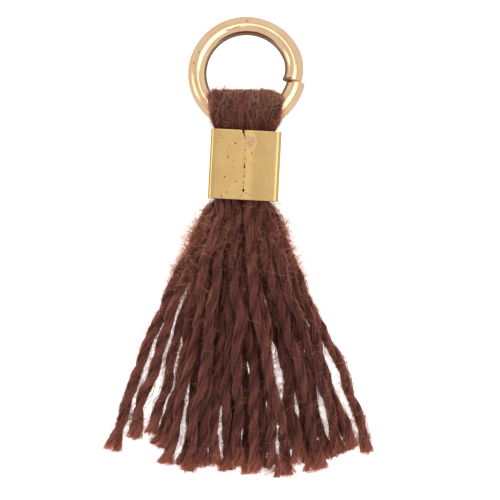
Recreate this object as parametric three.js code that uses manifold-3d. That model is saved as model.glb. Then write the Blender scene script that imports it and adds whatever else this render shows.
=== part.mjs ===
// A tassel charm lying on its back: a hank of two-ply yarn, folded over a jump ring, held by a crimp band
// and cut into strands below it.
// Sizes are in millimetres. X runs across the charm, Y up to the ring and Z off the surface that it lies on.
// The origin is the middle of the band's flat back.

import * as THREE from "three";
import { mergeVertices } from "three/addons/utils/BufferGeometryUtils.js";
import Module from "manifold-3d";

const wasm = await Module();
wasm.setup();

const clearance = 0.3; // between two pieces
const weldDistance = 1e-4;

const ring = {
  outerDiameter: 10,
  wire: 1.6,
  x: 0.15,
  y: 7.83,
  heightInFold: 2.3, // of the wire's middle, where the yarn goes over it
  sides: 12,
  steps: 60,
  cutAngle: -10, // degrees from three o'clock
  cutGap: 0.3,
  bentStretch: 32, // degrees of wire by each cut end that leave the circle
  upperEndIn: 0.31, // how far the end above the cut is bent into the ring
  lowerEndOut: 0.1, // how far the end below it stands out
};
ring.middleRadius = (ring.outerDiameter - ring.wire) / 2;
// The ring's far side leans down until its wire rests on the surface.
ring.tilt = Math.asin((ring.heightInFold - ring.wire / 2) / (2 * ring.middleRadius));
ring.z = ring.wire / 2 + ring.middleRadius * Math.sin(ring.tilt);

const band = {
  width: 6,
  depth: 4.6,
  length: 5.9,
  wall: 0.4,
  corner: 0.6, // outside radius along its four long edges
  lean: 3, // degrees clockwise, seen from the front
  seamGap: 0.1,
  nickWidth: 0.42,
  nickDepth: 0.85,
  cornerPoints: 5,
};

// The folded bundle of yarn, from the top of the fold down through the band to the roots of the strands.
// Each row is a cross-section: where its left, right, back and front lie, and how high its ridges stand.
const bundle = {
  sides: 38, // an even number, as every second point is a ridge
  corner: 0.42, // corner radius as a share of the section's smaller side
  rows: [
    { y: 6.38, left: -2.85, right: 3.05, back: 1.45, front: 3.3, ridge: 0.04 },
    { y: 6.12, left: -3.05, right: 3.3, back: 0.8, front: 4.0, ridge: 0.08 },
    { y: 5.5, left: -3.05, right: 3.25, back: 0.35, front: 4.4, ridge: 0.1 },
    { y: 4.7, left: -2.95, right: 3.1, back: 0.22, front: 4.5, ridge: 0.1 },
    { y: 4.05, left: -2.8, right: 2.9, back: 0.3, front: 4.38, ridge: 0.1 },
    { y: 3.5, left: -2.36, right: 2.65, back: 0.6, front: 4.02, ridge: 0.04 },
    { y: 3.0, left: -2.02, right: 2.3, back: 0.76, front: 3.84, ridge: 0 },
    { y: 0, left: -2.25, right: 2.25, back: 0.72, front: 3.88, ridge: 0 },
    { y: -3.1, left: -2.4, right: 2.1, back: 0.72, front: 3.88, ridge: 0 },
    { y: -3.5, left: -2.85, right: 2.3, back: 0.62, front: 3.84, ridge: 0 },
    { y: -4.2, left: -3.35, right: 2.7, back: 0.5, front: 3.7, ridge: 0 },
    { y: -6, left: -4.3, right: 3.2, back: 0.5, front: 3.4, ridge: 0 },
    { y: -7.6, left: -4.9, right: 3.7, back: 0.7, front: 3.0, ridge: 0 },
    { y: -8.8, left: -5.2, right: 3.9, back: 1.1, front: 2.3, ridge: 0 },
  ],
};

const yarn = {
  sides: 4,
  halfWidth: 0.45,
  twistDepth: 0.06, // how far the two plies bulge past the mean half width
  plyStep: 2.3, // from one ply's crossing to the next
  spacing: 1.06, // between the middles of two strands that touch
  frayedEnd: 1.12, // how much wider a cut end is
  rootY: -3.7,
  rootSpread: 0.62, // width of the roots against that of the first station
  rootBack: 1.05,
  rootFront: 3.55,
  swayWidth: 0.1,
  swayLength: 7.5,
  swayStart: 5, // length over which the sway grows to its full width
  lowestY: -26.7,
  levels: 12, // heights below the roots at which each strand is settled on the others
  cutStep: 0.005, // share of a strand's path within which it is cut at its stated height
};

// Where the strands' places across are known, from below the band down to the cut ends.
const stations = { upper: -8.1, middle: -13.2, lower: -18.3, hem: -21.4, end: -24.5 };

// Strands in the order in which they lie, from the surface up: their places across at the stations, and how
// far down each is cut.
const strandRows = [
  // lying on the surface
  { upper: -5.2, middle: -7.57, lower: -9.4, hem: -10.55, end: -11.28, cutY: -24.6 },
  { upper: 3.85, middle: 6.2, lower: 8.7, hem: 9.75, end: 10.4, cutY: -24.8 },
  { upper: -3.95, middle: -4.2, lower: -5.6, hem: -6.46, end: -7.5, cutY: -24.2 },
  { upper: -2.8, middle: -3.1, lower: -3.5, hem: -3.8, end: -4.05, cutY: -24.9 },
  { upper: -1.7, middle: -2.2, lower: -2.8, hem: -2.95, end: -3.1, cutY: -24.3 },
  { upper: -0.6, middle: -0.7, lower: -1.1, hem: -1.05, end: -1.0, cutY: -24.9 },
  { upper: 0.5, middle: 0.8, lower: 1.2, hem: 1.2, end: 1.2, cutY: -24.6 },
  { upper: 1.6, middle: 2.35, lower: 3.8, hem: 3.55, end: 4.6, cutY: -24.2 },
  { upper: 2.7, middle: 4.7, lower: 6.5, hem: 7.5, end: 8.6, cutY: -23.5 },
  // second layer
  { upper: -4.6, middle: -6.55, lower: -8.1, hem: -9.15, end: -9.85, cutY: -23.5 },
  { upper: -3.45, middle: -5.35, lower: -6.6, hem: -7.55, end: -8.45, cutY: -23.2 },
  { upper: -2.3, middle: -3.5, lower: -3.98, hem: -4.5, end: -4.95, cutY: -25.9 },
  { upper: -1.15, middle: -1.7, lower: -2.3, hem: -2.5, end: -2.7, cutY: -25.9 },
  { upper: -0.05, middle: 0.0, lower: 0.0, hem: 0.15, end: 0.3, cutY: -26.4 },
  { upper: 1.05, middle: 1.25, lower: 1.5, hem: 1.5, end: 1.5, cutY: -25.9 },
  { upper: 2.15, middle: 3.7, lower: 4.4, hem: 5.1, end: 5.55, cutY: -26.2 },
  { upper: 3.3, middle: 5.6, lower: 7.0, hem: 8.15, end: 9.45, cutY: -24.4 },
  // third layer
  { upper: -3.95, middle: -4.7, lower: -5.4, hem: -6.15, end: -7.0, cutY: -24.4 },
  { upper: -2.85, middle: -2.8, lower: -3.2, hem: -3.35, end: -3.5, cutY: -25.8 },
  { upper: -1.7, middle: -1.2, lower: -1.5, hem: -1.65, end: -1.5, cutY: -26.2 },
  { upper: -0.6, middle: 0.2, lower: 0.8, hem: 0.8, end: 0.8, cutY: -26.2 },
  { upper: 0.5, middle: 1.75, lower: 2.1, hem: 2.25, end: 2.4, cutY: -26.2 },
  { upper: 1.6, middle: 3.1, lower: 3.7, hem: 4.1, end: 4.6, cutY: -25.6 },
  { upper: 2.7, middle: 4.2, lower: 5.4, hem: 6.1, end: 7.1, cutY: -25.3 },
  // front layer
  { upper: -3.4, middle: -3.9, lower: -5.0, hem: -5.8, end: -6.4, cutY: -25.7 },
  { upper: -2.3, middle: -2.9, lower: -3.6, hem: -4.2, end: -4.65, cutY: -26.2 },
  { upper: -1.1, middle: -0.5, lower: -0.7, hem: -0.6, end: -0.5, cutY: -25.9 },
  { upper: 0.6, middle: 1.05, lower: 2.35, hem: 3.0, end: 3.4, cutY: -26.6 },
  { upper: 1.8, middle: 3.5, lower: 4.9, hem: 5.6, end: 6.15, cutY: -26.1 },
  { upper: 2.9, middle: 4.6, lower: 6.6, hem: 7.35, end: 8.1, cutY: -24.9 },
];

const gold = new THREE.MeshStandardMaterial({ color: 0xd9ad72, roughness: 0.22, metalness: 1 });
const brass = new THREE.MeshStandardMaterial({ color: 0xc9a366, roughness: 0.3, metalness: 1 });
const brownYarn = new THREE.MeshStandardMaterial({ color: 0x6b3a32, roughness: 0.95, metalness: 0 });

const radians = THREE.MathUtils.degToRad;
const mix = THREE.MathUtils.lerp;

// A closed geometry as a solid that can be joined and cut.
function solidOf(geometry) {
  const bare = geometry.clone();
  bare.deleteAttribute("normal");
  bare.deleteAttribute("uv");
  const welded = mergeVertices(bare, weldDistance);
  const vertProperties = new Float32Array(welded.getAttribute("position").array);
  const triVerts = new Uint32Array(welded.index.array);
  return new wasm.Manifold(new wasm.Mesh({ numProp: 3, vertProperties, triVerts }));
}

function meshOf(solid, name, material) {
  const { vertProperties, triVerts } = solid.getMesh();
  const geometry = new THREE.BufferGeometry();
  geometry.setAttribute("position", new THREE.BufferAttribute(vertProperties, 3));
  geometry.setIndex(new THREE.BufferAttribute(triVerts, 1));
  geometry.computeVertexNormals();
  return namedMesh(geometry, name, material);
}

function namedMesh(geometry, name, material) {
  const mesh = new THREE.Mesh(geometry, material);
  mesh.name = name;
  return mesh;
}

// A closed drum whose points are moved: place gets the turn round the drum, how far down it the point is,
// from 0 to 1, and 1 on the wall or 0 in the middle of an end.
function shapedDrum(sides, steps, place) {
  const geometry = new THREE.CylinderGeometry(1, 1, 1, sides, steps);
  const points = geometry.getAttribute("position");
  for (let i = 0; i < points.count; i++) {
    const x = points.getX(i);
    const z = points.getZ(i);
    const moved = place(Math.atan2(x, z), 0.5 - points.getY(i), Math.hypot(x, z));
    points.setXYZ(i, moved.x, moved.y, moved.z);
  }
  return solidOf(geometry);
}

// The ring's wire runs anticlockwise from its upper cut end to its lower one.
class RingPath extends THREE.Curve {
  getPoint(share, target = new THREE.Vector3()) {
    const halfGap = ring.cutGap / 2 / ring.middleRadius;
    const sweep = 2 * Math.PI - 2 * halfGap;
    const turned = share * sweep;
    const bent = (angle) => Math.max(0, 1 - angle / radians(ring.bentStretch)) ** 1.5;
    const radius =
      ring.middleRadius - ring.upperEndIn * bent(turned) + ring.lowerEndOut * bent(sweep - turned);
    const angle = radians(ring.cutAngle) + halfGap + turned;
    return target.set(radius * Math.cos(angle), radius * Math.sin(angle), 0);
  }
}

function wireAlongRing(radius) {
  const section = new THREE.Shape();
  for (let i = 0; i < ring.sides; i++) {
    const turn = ((i + 0.5) / ring.sides) * 2 * Math.PI;
    const corner = new THREE.Vector2(Math.cos(turn), Math.sin(turn)).multiplyScalar(radius);
    if (i === 0) section.moveTo(corner.x, corner.y);
    else section.lineTo(corner.x, corner.y);
  }
  return new THREE.ExtrudeGeometry(section, { steps: ring.steps, extrudePath: new RingPath() });
}

function makeJumpRing() {
  const mesh = namedMesh(wireAlongRing(ring.wire / 2), "jump_ring", gold);
  mesh.position.set(ring.x, ring.y, ring.z);
  mesh.rotation.x = -ring.tilt;
  return mesh;
}

// One wall of the band's outline, from the seam round the back to the seam: x across and y off the surface.
function bandOutline(inset) {
  const right = band.width / 2 - inset;
  const front = band.depth - inset;
  const radius = band.corner - inset;
  const corners = [
    { x: right - radius, y: front - radius, from: 90 },
    { x: right - radius, y: inset + radius, from: 0 },
    { x: radius - right, y: inset + radius, from: -90 },
    { x: radius - right, y: front - radius, from: -180 },
  ];
  const points = [new THREE.Vector2(band.seamGap / 2, front)];
  for (const corner of corners) {
    for (let i = 0; i <= band.cornerPoints; i++) {
      const turn = radians(corner.from - (90 * i) / band.cornerPoints);
      points.push(
        new THREE.Vector2(corner.x + radius * Math.cos(turn), corner.y + radius * Math.sin(turn)),
      );
    }
  }
  points.push(new THREE.Vector2(-band.seamGap / 2, front));
  return points;
}

function makeCrimpBand() {
  const strip = new THREE.Shape([...bandOutline(0), ...bandOutline(band.wall).reverse()]);
  const sleeve = new THREE.ExtrudeGeometry(strip, { depth: band.length, bevelEnabled: false });
  sleeve.rotateX(Math.PI / 2).translate(0, band.length / 2, 0);

  const top = band.length / 2;
  const nickShape = new THREE.Shape([
    new THREE.Vector2(-band.nickWidth / 2, top + band.nickWidth),
    new THREE.Vector2(-band.nickWidth / 2, top),
    new THREE.Vector2(0, top - band.nickDepth),
    new THREE.Vector2(band.nickWidth / 2, top),
    new THREE.Vector2(band.nickWidth / 2, top + band.nickWidth),
  ]);
  const nick = new THREE.ExtrudeGeometry(nickShape, { depth: band.depth, bevelEnabled: false });
  nick.translate(0, 0, band.depth / 2);

  const mesh = meshOf(solidOf(sleeve).subtract(solidOf(nick)), "crimp_band", brass);
  mesh.rotation.z = -radians(band.lean);
  return mesh;
}

// Evenly spaced points round one cross-section of the bundle, a round-cornered rectangle, from its front.
function sectionPoints(row) {
  const width = row.right - row.left;
  const depth = row.front - row.back;
  const radius = bundle.corner * Math.min(width, depth);
  const right = width / 2 - radius;
  const front = depth / 2 - radius;
  const quarter = Math.PI / 2;
  const outline = new THREE.Path();
  outline.moveTo(0, depth / 2);
  outline.absarc(right, front, radius, quarter, 0, true);
  outline.absarc(right, -front, radius, 0, -quarter, true);
  outline.absarc(-right, -front, radius, -quarter, -2 * quarter, true);
  outline.absarc(-right, front, radius, 2 * quarter, quarter, true);
  outline.closePath();
  return outline.getSpacedPoints(bundle.sides);
}

// Every second point round the bundle stands out as a ridge of yarn.
function makeBundle() {
  const last = bundle.rows.length - 1;
  const sections = bundle.rows.map(sectionPoints);
  return shapedDrum(bundle.sides, last, (turn, down, reach) => {
    const step = Math.round(down * last);
    const row = bundle.rows[step];
    const index = Math.round((turn / (2 * Math.PI)) * bundle.sides);
    const point = sections[step][(index + bundle.sides) % bundle.sides];
    const ridge = index % 2 === 0 ? row.ridge : -row.ridge;
    const share = reach * (1 + ridge / point.length());
    return new THREE.Vector3(
      (row.left + row.right) / 2 + share * point.x,
      row.y,
      (row.back + row.front) / 2 + share * point.y,
    );
  });
}

// A strand's place across at a height y: straight between the stations and on past them, with a slight sway
// that starts at the first station.
function acrossAt(row, y, index) {
  const names = Object.keys(stations);
  const passed = names.filter((name) => y < stations[name]).length;
  const above = THREE.MathUtils.clamp(passed - 1, 0, names.length - 2);
  const [from, to] = [names[above], names[above + 1]];
  const share = (y - stations[from]) / (stations[to] - stations[from]);
  const free = Math.min(1, (stations.upper - y) / yarn.swayStart);
  const sway = yarn.swayWidth * free * Math.sin((2 * Math.PI * y) / yarn.swayLength + 2.4 * index);
  return mix(row[from], row[to], share) + sway;
}

// The strands' middle lines: they leave the band together, and each settles on those already laid.
function layStrands() {
  const lying = yarn.halfWidth + yarn.twistDepth;
  const laid = [];
  strandRows.forEach((row, index) => {
    const points = [];
    for (let level = 0; level <= yarn.levels; level++) {
      const y = mix(stations.upper, yarn.lowestY, level / yarn.levels);
      const x = acrossAt(row, y, index);
      const z = laid.reduce((height, other) => {
        const apart = Math.abs(other[level].x - x);
        if (apart >= yarn.spacing) return height;
        return Math.max(height, other[level].z + Math.sqrt(yarn.spacing ** 2 - apart ** 2));
      }, lying);
      points.push(new THREE.Vector3(x, y, z));
    }
    laid.push(points);
  });
  return laid;
}

// One strand, from its root to its cut end. Its width and depth bulge in turn, as its plies cross.
function makeStrand(points, row) {
  const root = new THREE.Vector3(
    points[0].x * yarn.rootSpread,
    yarn.rootY,
    THREE.MathUtils.clamp(points[0].z, yarn.rootBack, yarn.rootFront),
  );
  const path = new THREE.CatmullRomCurve3([root, ...points]);
  let cut = 1;
  while (path.getPointAt(cut).y < row.cutY) cut -= yarn.cutStep;
  const steps = Math.round((path.getLength() * cut) / (yarn.plyStep / 2));
  const forward = new THREE.Vector3(0, 0, 1);
  return shapedDrum(yarn.sides, steps, (turn, down, reach) => {
    const middle = path.getPointAt(down * cut);
    const tangent = path.getTangentAt(down * cut);
    const across = forward.clone().cross(tangent).normalize();
    const out = tangent.clone().cross(across);
    const bulge = yarn.twistDepth * Math.cos(Math.PI * Math.round(down * steps));
    const end = down === 1 ? yarn.frayedEnd : 1;
    const halfWidth = (yarn.halfWidth + bulge) * end;
    const halfDepth = (yarn.halfWidth - bulge) * end;
    middle.z = Math.max(middle.z, halfDepth);
    return middle
      .addScaledVector(across, reach * Math.sin(turn) * halfWidth)
      .addScaledVector(out, reach * Math.cos(turn) * halfDepth);
  });
}

// The bundle with a way for the ring's wire through its fold, and the strands joined to it by their roots.
function makeYarnTassel(jumpRing) {
  jumpRing.updateMatrixWorld();
  const tunnelRadius = (ring.wire / 2 + clearance) / Math.cos(Math.PI / ring.sides);
  const tunnel = wireAlongRing(tunnelRadius).applyMatrix4(jumpRing.matrixWorld);
  const head = makeBundle().subtract(solidOf(tunnel));
  const paths = layStrands();
  const strands = paths.map((points, i) => makeStrand(points, strandRows[i]));
  const joined = strands.reduce((whole, strand) => whole.add(strand), head);
  return meshOf(joined, "yarn_tassel", brownYarn);
}

const charm = new THREE.Group();
const jumpRing = makeJumpRing();
charm.add(jumpRing, makeCrimpBand(), makeYarnTassel(jumpRing));

export default charm;
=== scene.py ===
"""Looks of a tassel charm that lies on its back: gilt jump ring, crimp band and a hank of two-ply yarn.

Lengths in the classes are in millimetres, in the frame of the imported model: X across the charm, Y up to the
ring and Z off the surface that it lies on. The origin is the middle of the band's flat back.
"""

import logging
import math
from dataclasses import dataclass, field
from enum import Enum
from typing import Any, Mapping, Optional, Sequence, Union

import bmesh
import bpy
import numpy as np
from mathutils import Matrix, Vector


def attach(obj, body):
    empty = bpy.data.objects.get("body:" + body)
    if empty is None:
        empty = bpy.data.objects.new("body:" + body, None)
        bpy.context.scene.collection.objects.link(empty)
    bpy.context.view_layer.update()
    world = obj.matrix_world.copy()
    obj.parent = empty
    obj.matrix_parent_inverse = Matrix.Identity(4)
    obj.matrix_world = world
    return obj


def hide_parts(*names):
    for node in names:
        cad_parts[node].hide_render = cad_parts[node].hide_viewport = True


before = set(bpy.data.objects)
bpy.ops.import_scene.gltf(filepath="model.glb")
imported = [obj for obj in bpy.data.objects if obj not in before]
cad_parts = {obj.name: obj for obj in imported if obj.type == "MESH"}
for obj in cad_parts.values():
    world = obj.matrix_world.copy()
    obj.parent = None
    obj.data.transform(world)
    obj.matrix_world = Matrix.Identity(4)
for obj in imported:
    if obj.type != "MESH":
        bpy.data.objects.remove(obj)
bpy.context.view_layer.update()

LOG = logging.getLogger("tassel_charm")
MM = 0.001
BODY = "root"
TURN = 2 * math.pi
Colour = tuple[float, float, float, float]
Range = tuple[float, float]
WHITE = (1.0, 1.0, 1.0, 1.0)
# How far above the surface the lowest fibres lie.
LOWEST = 0.004


class Slot(Enum):
    """The record's material slots."""

    RING = "ring_wire"
    BAND = "band_sheet"
    YARN = "brown_yarn"


class Signal:
    """The output of a shader node. Arithmetic on it adds Math nodes."""

    def __init__(self, recipe: "Recipe", socket: Optional[bpy.types.NodeSocket]) -> None:
        """Keeps the output socket, or None on an output node, and its recipe."""
        self.recipe = recipe
        self.socket = socket

    def _math(self, operation: str, first: "Value", second: "Value") -> "Signal":
        """The result of a Math node on two values."""
        return self.recipe.node("ShaderNodeMath", {"operation": operation}, {0: first, 1: second})

    def __add__(self, other: "Value") -> "Signal":
        """Sum."""
        return self._math("ADD", self, other)

    def __radd__(self, other: "Value") -> "Signal":
        """Sum, with the signal second."""
        return self._math("ADD", other, self)

    def __sub__(self, other: "Value") -> "Signal":
        """Difference."""
        return self._math("SUBTRACT", self, other)

    def __rsub__(self, other: "Value") -> "Signal":
        """Difference, with the signal second."""
        return self._math("SUBTRACT", other, self)

    def __mul__(self, other: "Value") -> "Signal":
        """Product."""
        return self._math("MULTIPLY", self, other)

    def __rmul__(self, other: "Value") -> "Signal":
        """Product, with the signal second."""
        return self._math("MULTIPLY", other, self)

    def larger(self, other: "Value") -> "Signal":
        """The larger of the two."""
        return self._math("MAXIMUM", self, other)


Value = Union[Signal, float]


class Recipe:
    """A node tree that is written as expressions."""

    def __init__(self, tree: bpy.types.NodeTree) -> None:
        """Empties the tree.

        Args:
            tree: The tree of a material or of the world.
        """
        self.tree = tree
        tree.nodes.clear()

    def node(
        self,
        kind: str,
        settings: Optional[Mapping[str, Any]] = None,
        inputs: Optional[Mapping[Union[str, int], Any]] = None,
        output: Union[str, int] = 0,
    ) -> Signal:
        """Adds a node of any type.

        Args:
            kind: The node's type.
            settings: Its properties. The stops of a colour ramp are pairs of position and colour.
            inputs: The value or the signal of each socket, by name or number.
            output: The socket that is returned, where the node has any.

        Returns:
            The chosen output.
        """
        made = self.tree.nodes.new(kind)
        for name, value in (settings or {}).items():
            if name == "stops":
                self._set_stops(made.color_ramp, value)
            else:
                setattr(made, name, value)
        for name, value in (inputs or {}).items():
            if isinstance(value, Signal):
                self.tree.links.new(value.socket, made.inputs[name])
            else:
                made.inputs[name].default_value = value
        return Signal(self, made.outputs[output] if made.outputs else None)

    def _set_stops(self, ramp: bpy.types.ColorRamp, stops: Sequence[tuple[float, Colour]]) -> None:
        """Gives a colour ramp its stops.

        Args:
            ramp: The ramp, with its two stops as made.
            stops: Position and colour of each stop, in order.
        """
        while len(ramp.elements) < len(stops):
            ramp.elements.new(1.0)
        for element, (position, colour) in zip(ramp.elements, stops):
            element.position = position
            element.color = colour

    def mix(self, factor: Value, first: Any, second: Any) -> Signal:
        """The mix of two colours, with the factor's share of the second."""
        return self.node("ShaderNodeMix", {"data_type": "RGBA"}, {0: factor, 6: first, 7: second}, 2)

    def ramped(self, value: Signal, low: float, high: float) -> Signal:
        """A value brought to 0 at low and to 1 at high, and held beyond them."""
        return self.node(
            "ShaderNodeMapRange",
            {"interpolation_type": "SMOOTHSTEP"},
            {"Value": value, "From Min": low, "From Max": high, "To Min": 0.0, "To Max": 1.0},
        )

    def place(self) -> Signal:
        """The Object coordinates, in metres."""
        return self.node("ShaderNodeTexCoord", output="Object")

    def attribute(self, name: str, output: str) -> Signal:
        """A mesh attribute, as Fac for a number or as Vector."""
        return self.node("ShaderNodeAttribute", {"attribute_name": name}, output=output)

    def vector(
        self, operation: str, first: Signal, second: Sequence[float] = (0.0, 0.0, 0.0), output: str = "Vector"
    ) -> Signal:
        """The result of a Vector Math node."""
        return self.node(
            "ShaderNodeVectorMath", {"operation": operation}, {0: first, 1: tuple(second)}, output
        )

    def noise(self, place: Signal, scale: Sequence[float], detail: float = 2.0) -> Signal:
        """Noise about 0.5, on a place that is first stretched by the scale along each axis."""
        return self.node(
            "ShaderNodeTexNoise",
            {"noise_dimensions": "3D"},
            {
                "Vector": self.vector("MULTIPLY", place, scale),
                "Scale": 1.0,
                "Detail": detail,
                "Roughness": 0.6,
            },
        )

    def distance(self, place: Signal, centre: Range, size: Range = (1.0, 1.0)) -> Signal:
        """How far a place is from a centre in X and Y.

        Args:
            place: The coordinates, in metres.
            centre: X and Y of the centre, in millimetres.
            size: The lengths in X and in Y that count as 1, in millimetres.

        Returns:
            The distance.
        """
        moved = self.vector("SUBTRACT", place, (centre[0] * MM, centre[1] * MM, 0.0))
        sized = self.vector("MULTIPLY", moved, (1 / (size[0] * MM), 1 / (size[1] * MM), 0.0))
        return self.vector("LENGTH", sized, output="Value")

    def bump(self, height: Signal, distance: float) -> Signal:
        """A normal that a height bends, with the distance in metres that height 1 stands out."""
        return self.node("ShaderNodeBump", None, {"Height": height, "Distance": distance, "Strength": 1.0})

    def principled(self, inputs: Mapping[str, Any]) -> Signal:
        """A Principled shader with these inputs."""
        return self.node("ShaderNodeBsdfPrincipled", None, inputs)

    def finish(self, shader: Signal, kind: str = "ShaderNodeOutputMaterial") -> None:
        """Joins a shader to the tree's output."""
        self.node(kind, None, {"Surface": shader})


@dataclass(frozen=True)
class Finish:
    """A named material whose look each kind of finish writes as a shader."""

    name: str

    def shader(self, recipe: Recipe) -> Signal:
        """The look's shader."""
        raise NotImplementedError

    def material(self) -> bpy.types.Material:
        """Makes the material.

        Returns:
            The material.
        """
        material = bpy.data.materials.new(self.name)
        material.use_nodes = True
        recipe = Recipe(material.node_tree)
        recipe.finish(self.shader(recipe))
        return material


@dataclass(frozen=True)
class Spot:
    """A small round or long mark on the metal's front, in millimetres of the model's frame."""

    x: float
    y: float
    across: float
    along: float


@dataclass(frozen=True)
class GoldPlate(Finish):
    """Polished gold plating on brass, with a fine grain, thin pits and worn places."""

    colour: Colour
    warm: Colour
    pit: Colour
    roughness: float
    wave: float
    wave_size: float
    spots: tuple[Spot, ...] = ()
    stains: tuple[Spot, ...] = ()
    stain: Colour = (0.5, 0.3, 0.24, 1.0)

    def spots_mask(self, recipe: Recipe, spots: Sequence[Spot], edge: float) -> Signal:
        """A mask that is 1 in a row of spots.

        Args:
            recipe: The material's recipe.
            spots: The spots.
            edge: How soft their edge is, as a share of their size.

        Returns:
            The mask.
        """
        place = recipe.place()
        ragged = 0.9 * (recipe.noise(place, (9000.0, 9000.0, 9000.0)) - 0.5)
        total: Optional[Signal] = None
        for spot in spots:
            far = recipe.distance(place, (spot.x, spot.y), (spot.across, spot.along))
            mask = recipe.ramped(far + ragged, 1.0 + edge, 1.0 - edge)
            total = mask if total is None else total.larger(mask)
        return total

    def shader(self, recipe: Recipe) -> Signal:
        """Clouds the colour, grains the surface and sets the stains and the pits in it.

        Args:
            recipe: The material's recipe.

        Returns:
            The shader.
        """
        place = recipe.place()
        cloud = recipe.noise(place, (700.0, 500.0, 700.0), 3.0)
        grain = recipe.noise(place, (5200.0, 5200.0, 5200.0), 3.0)
        wave = recipe.noise(place, (self.wave_size, self.wave_size, self.wave_size))
        colour = recipe.mix(recipe.ramped(cloud, 0.35, 0.65), self.colour, self.warm)
        roughness = self.roughness + 0.06 * recipe.ramped(grain, 0.45, 0.75)
        height = wave * self.wave + grain * 0.005
        if self.stains:
            stained = self.spots_mask(recipe, self.stains, 0.35)
            colour = recipe.mix(stained * recipe.ramped(grain, 0.25, 0.7), colour, self.stain)
            roughness = roughness + 0.25 * stained
            height = height + stained * grain * 0.25
        if self.spots:
            pitted = self.spots_mask(recipe, self.spots, 0.3)
            colour = recipe.mix(pitted, colour, self.pit)
            roughness = roughness + 0.3 * pitted
            height = height - pitted * 0.3
        return recipe.principled(
            {
                "Base Color": colour,
                "Metallic": 1.0,
                "Roughness": roughness,
                "Normal": recipe.bump(height, 0.04 * MM),
            }
        )


@dataclass(frozen=True)
class BrownYarn(Finish):
    """The wound fibres of a ply. The mesh's fibre attribute runs round and along the ply."""

    dark: Colour
    middle: Colour
    light: Colour
    along: float = 0.9
    around: float = 5.5

    def shader(self, recipe: Recipe) -> Signal:
        """Streaks the yarn along its fibres and colours it by its tone, which holds a painted shade in the
        grooves between the plies.

        Args:
            recipe: The material's recipe.

        Returns:
            The shader.
        """
        fibre = recipe.attribute("fibre", "Vector")
        tone = recipe.attribute("tone", "Fac")
        streak = recipe.noise(fibre, (self.around, self.around, self.along), 4.0)
        patch = recipe.noise(fibre, (1.2, 1.2, 0.5))
        colour = recipe.node(
            "ShaderNodeValToRGB",
            {"stops": ((0.1, self.dark), (0.5, self.middle), (0.95, self.light))},
            {"Fac": tone + 1.1 * (streak - 0.5) + 0.5 * (patch - 0.5)},
        )
        return recipe.principled(
            {
                "Base Color": colour,
                "Roughness": 0.85,
                "Specular IOR Level": 0.25,
                "Sheen Weight": 0.5,
                "Sheen Roughness": 0.45,
                "Sheen Tint": (1.0, 0.5, 0.38, 1.0),
                "Normal": recipe.bump(streak, 0.16 * MM),
            }
        )


@dataclass(frozen=True)
class LooseFibre(Finish):
    """Single fibres that stand off the yarn and let light through."""

    dark: Colour
    light: Colour
    glow: Colour
    through: float

    def shader(self, recipe: Recipe) -> Signal:
        """Dyes the fibres by their tone and lets some light through them.

        Args:
            recipe: The material's recipe.

        Returns:
            The shader.
        """
        tone = recipe.ramped(recipe.attribute("tone", "Fac"), 0.0, 1.0)
        skin = recipe.principled(
            {
                "Base Color": recipe.mix(tone, self.dark, self.light),
                "Roughness": 0.6,
                "Specular IOR Level": 0.35,
            }
        )
        glow = recipe.node("ShaderNodeBsdfTranslucent", None, {"Color": self.glow})
        return recipe.node("ShaderNodeMixShader", None, {0: self.through, 1: skin, 2: glow})


@dataclass(frozen=True)
class WhiteTable(Finish):
    """The lit white surface that the charm lies on, with the ring's shade that only metal mirrors."""

    lit: Colour = WHITE
    mirrored: Colour = (0.68, 0.68, 0.68, 1.0)
    shaded: Colour = (0.12, 0.12, 0.12, 1.0)
    shade_place: Range = (0.15, 7.83)
    shade_inner: float = 3.4
    shade_outer: float = 5.4

    def shader(self, recipe: Recipe) -> Signal:
        """Lights the table. Metal mirrors it dimmer, as it is in the charm's own shade.

        Args:
            recipe: The material's recipe.

        Returns:
            The shader.
        """
        glossy = recipe.node("ShaderNodeLightPath", output="Is Glossy Ray")
        far = recipe.distance(recipe.place(), self.shade_place)
        mirrored = recipe.mix(
            recipe.ramped(far, self.shade_inner, self.shade_outer), self.shaded, self.mirrored
        )
        return recipe.principled(
            {
                "Base Color": recipe.mix(glossy, (0.9, 0.9, 0.9, 1.0), (0.1, 0.1, 0.1, 1.0)),
                "Roughness": 0.9,
                "Specular IOR Level": 0.0,
                "Emission Color": recipe.mix(glossy, self.lit, mirrored),
                "Emission Strength": 1.0,
            }
        )


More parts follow.
